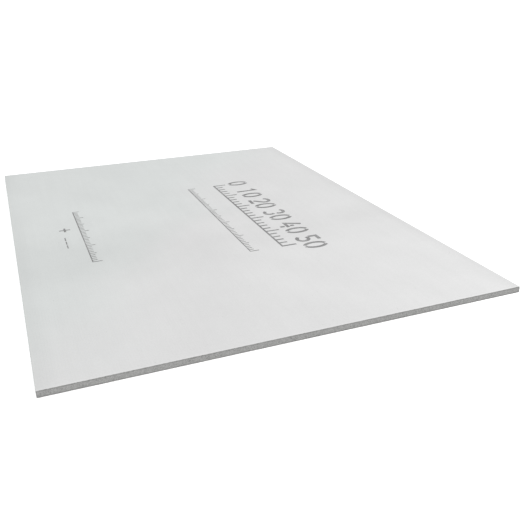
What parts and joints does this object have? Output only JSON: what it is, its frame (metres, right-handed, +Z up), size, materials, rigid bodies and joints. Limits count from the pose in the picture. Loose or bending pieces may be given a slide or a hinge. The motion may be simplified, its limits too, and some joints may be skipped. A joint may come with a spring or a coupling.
{
  "type": "cement board",
  "caption": "Flat cement building board with eased long edges and square sawn ends, lying face up.",
  "frame": {"origin": "centre of the back face, at the level of the floor that the board lies on", "axes": "+X across the 900 mm width, +Y along the 1250 mm length, +Z up out of the visible face"},
  "size_m": [0.9, 1.25, 0.0125],
  "materials": {
    "cement": "matt, fine-grained pale grey cement"
  },
  "bodies": {
    "root": {"cement_board": "cement"}
  },
  "joints": []
}
